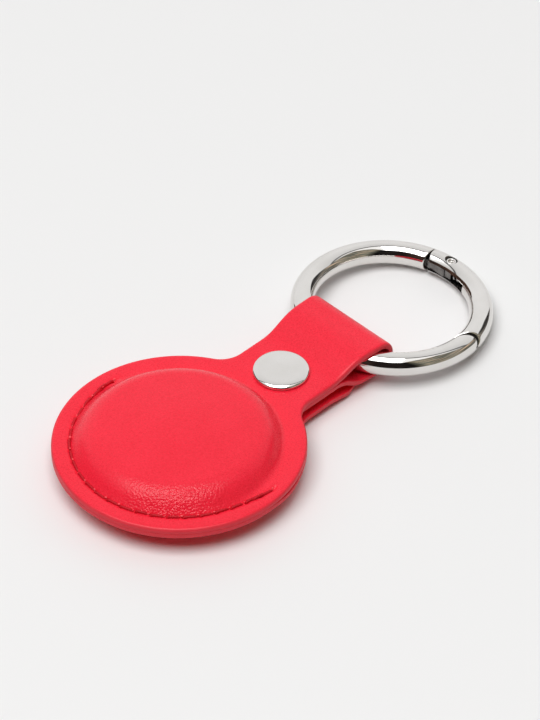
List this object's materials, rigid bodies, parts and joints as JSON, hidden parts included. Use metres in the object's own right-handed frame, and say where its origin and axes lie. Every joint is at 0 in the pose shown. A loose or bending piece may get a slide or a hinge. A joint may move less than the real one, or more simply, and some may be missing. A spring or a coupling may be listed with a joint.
{
  "type": "tracker tag holder",
  "caption": "Round stitched leather pouch for a tracker tag, with a snap flap and a strap looped round a spring-gate ring.",
  "frame": {"origin": "pouch centre on the surface that the back lies on", "axes": "+Y along the strap to the ring, +X across the strap, +Z out of the front face"},
  "size_m": [0.0454, 0.0954, 0.0102],
  "materials": {
    "leather": "smooth semi-matt",
    "thread": "waxed thread",
    "nickel": "polished",
    "spring_steel": "drawn wire"
  },
  "bodies": {
    "pouch": {"front_panel": "leather", "strap_tail": "leather", "back_panel": "leather", "stitch_front": "thread", "stitch_back": "thread", "snap_cap": "nickel", "cap_post": "nickel", "snap_socket": "nickel", "socket_spring": "spring_steel"},
    "flap": {"back_flap": "leather", "snap_stud": "nickel", "stud_post": "nickel"},
    "strap": {"strap_loop": "leather"},
    "ring": {"ring_body": "nickel"},
    "gate": {"ring_gate": "nickel", "hinge_pin": "nickel", "gate_spring": "spring_steel"}
  },
  "joints": [
    {"name": "flap_open", "type": "hinge", "parent": "pouch", "child": "flap", "pos_m": [0, 0.004, 0], "axis": [-1, 0, 0], "range_deg": [0, 60]},
    {"name": "strap_flex", "type": "hinge", "parent": "pouch", "child": "strap", "pos_m": [0, 0.0315, 0.0061], "axis": [1, 0, 0], "range_deg": [0, 60]},
    {"name": "ring_turn", "type": "hinge", "parent": "strap", "child": "ring", "pos_m": [0, 0.05415, 0.00364], "axis": [0, 0.0785, 0.9969], "range_deg": [-15, 110]},
    {"name": "gate_hinge", "type": "hinge", "parent": "ring", "child": "gate", "pos_m": [-0.00072, 0.07048, 0.00235], "axis": [0, -0.0785, -0.9969], "range_deg": [0, 28], "stiffness_Nm_per_rad": 0.02, "springref_deg": -20.05, "deforming": ["gate_spring"]}
  ]
}
